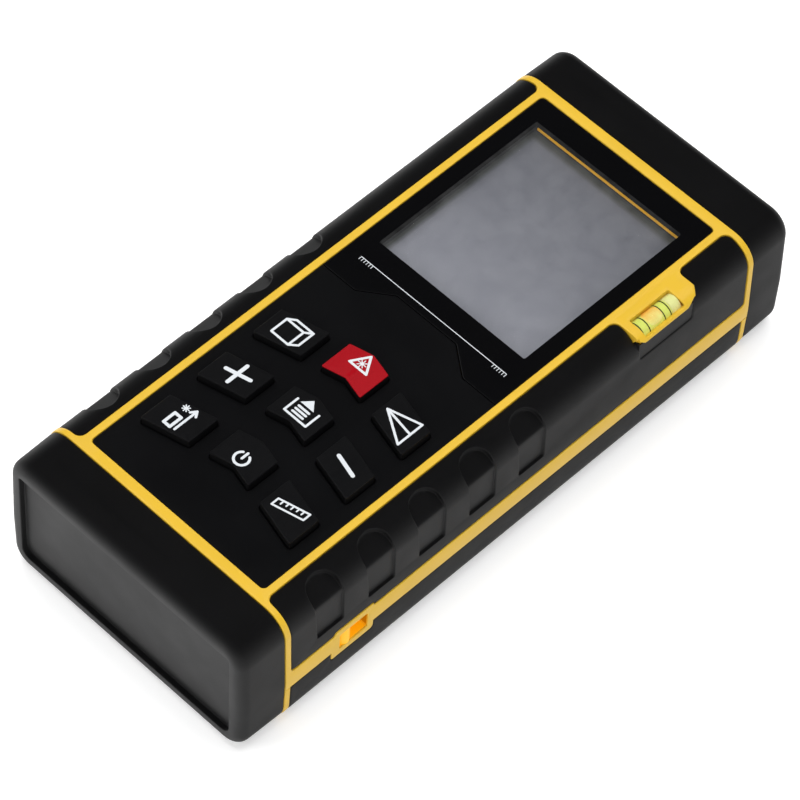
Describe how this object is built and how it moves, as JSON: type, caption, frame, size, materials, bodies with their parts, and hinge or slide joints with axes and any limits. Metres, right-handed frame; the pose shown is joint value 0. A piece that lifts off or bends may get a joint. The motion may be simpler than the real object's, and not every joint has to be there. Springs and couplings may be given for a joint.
{
  "type": "laser distance meter",
  "caption": "Hand-held laser distance meter with a framed display, chevron rows of keys, a bubble level in the side and rubber grips.",
  "frame": {"origin": "middle of the back face, which lies in z = 0", "axes": "+X right as the display is read, +Y towards the laser end, +Z out of the display"},
  "size_m": [0.05, 0.1158, 0.0267],
  "materials": {
    "yellow_plastic": "satin",
    "black_rubber": "matt, fine grain",
    "black_plastic": "matt",
    "window_plastic": "high gloss",
    "clear_plastic": "polished",
    "key_rubber": "matt",
    "key_red_rubber": "matt",
    "lcd": "satin",
    "white_plastic": "matt",
    "level_fluid": "clear tinted",
    "air": "clear",
    "circuit_board": "satin",
    "cast_aluminium": "cast",
    "steel": "plated",
    "brass": "machined",
    "optical_glass": "polished",
    "red_filter": "polished",
    "polyimide": "satin",
    "cell_jacket": "printed",
    "wire_red": "satin",
    "wire_black": "satin"
  },
  "bodies": {
    "case": {"front_shell": "yellow_plastic", "back_shell": "yellow_plastic", "grip_left": "black_rubber", "grip_right": "black_rubber", "back_overmould": "black_rubber", "bottom_end_cap": "black_rubber", "laser_end_cap": "black_rubber", "zebra_strip": "black_rubber", "optics_window_plate": "window_plastic", "display_window": "window_plastic", "level_vial": "clear_plastic", "laser_window": "optical_glass", "collimator_lens": "optical_glass", "receiver_lens": "optical_glass", "level_fluid": "level_fluid", "level_plug": "white_plastic", "lcd_backlight": "white_plastic", "lcd_glass": "lcd", "lcd_holder": "black_plastic", "keypad_plate": "black_plastic", "processor_chip": "black_plastic", "buzzer": "black_plastic", "keypad_mat": "key_rubber", "dome_sheet": "steel", "photodiode": "steel", "contact_positive": "steel", "contact_negative": "steel", "contact_bridge": "steel", "case_screw_1": "steel", "case_screw_2": "steel", "case_screw_3": "steel", "case_screw_4": "steel", "board_screw_1": "steel", "board_screw_2": "steel", "bench_screw_1": "steel", "bench_screw_2": "steel", "main_board": "circuit_board", "receiver_board": "circuit_board", "optics_bench": "cast_aluminium", "laser_diode": "brass", "collimator_barrel": "brass", "receiver_filter": "red_filter", "ribbon_cable": "polyimide", "cell_left": "cell_jacket", "cell_right": "cell_jacket", "lead_positive": "wire_red", "lead_negative": "wire_black"},
    "key_volume": {"key_volume": "key_rubber"},
    "key_measure": {"key_measure": "key_red_rubber"},
    "key_triangle": {"key_triangle": "key_rubber"},
    "key_plus": {"key_plus": "key_rubber"},
    "key_recall": {"key_recall": "key_rubber"},
    "key_minus": {"key_minus": "key_rubber"},
    "key_reference": {"key_reference": "key_rubber"},
    "key_power": {"key_power": "key_rubber"},
    "key_unit": {"key_unit": "key_rubber"},
    "battery_door": {"battery_door": "black_plastic"},
    "level_bubble": {"level_bubble": "air"}
  },
  "joints": [
    {"name": "press_volume", "type": "slide", "parent": "case", "child": "key_volume", "axis": [0, 0, -1], "range_m": [0, 0.0007], "stiffness_N_per_m": 400},
    {"name": "press_measure", "type": "slide", "parent": "case", "child": "key_measure", "axis": [0, 0, -1], "range_m": [0, 0.0007], "stiffness_N_per_m": 400},
    {"name": "press_triangle", "type": "slide", "parent": "case", "child": "key_triangle", "axis": [0, 0, -1], "range_m": [0, 0.0007], "stiffness_N_per_m": 400},
    {"name": "press_plus", "type": "slide", "parent": "case", "child": "key_plus", "axis": [0, 0, -1], "range_m": [0, 0.0007], "stiffness_N_per_m": 400},
    {"name": "press_recall", "type": "slide", "parent": "case", "child": "key_recall", "axis": [0, 0, -1], "range_m": [0, 0.0007], "stiffness_N_per_m": 400},
    {"name": "press_minus", "type": "slide", "parent": "case", "child": "key_minus", "axis": [0, 0, -1], "range_m": [0, 0.0007], "stiffness_N_per_m": 400},
    {"name": "press_reference", "type": "slide", "parent": "case", "child": "key_reference", "axis": [0, 0, -1], "range_m": [0, 0.0007], "stiffness_N_per_m": 400},
    {"name": "press_power", "type": "slide", "parent": "case", "child": "key_power", "axis": [0, 0, -1], "range_m": [0, 0.0007], "stiffness_N_per_m": 400},
    {"name": "press_unit", "type": "slide", "parent": "case", "child": "key_unit", "axis": [0, 0, -1], "range_m": [0, 0.0007], "stiffness_N_per_m": 400},
    {"name": "battery_door_hinge", "type": "hinge", "parent": "case", "child": "battery_door", "pos_m": [0, 0.0032, 0.00015], "axis": [1, 0, 0], "range_deg": [0, 75]},
    {"name": "bubble_slide", "type": "slide", "parent": "case", "child": "level_bubble", "axis": [0, 1, 0], "range_m": [-0.0012, 0.0012]}
  ]
}
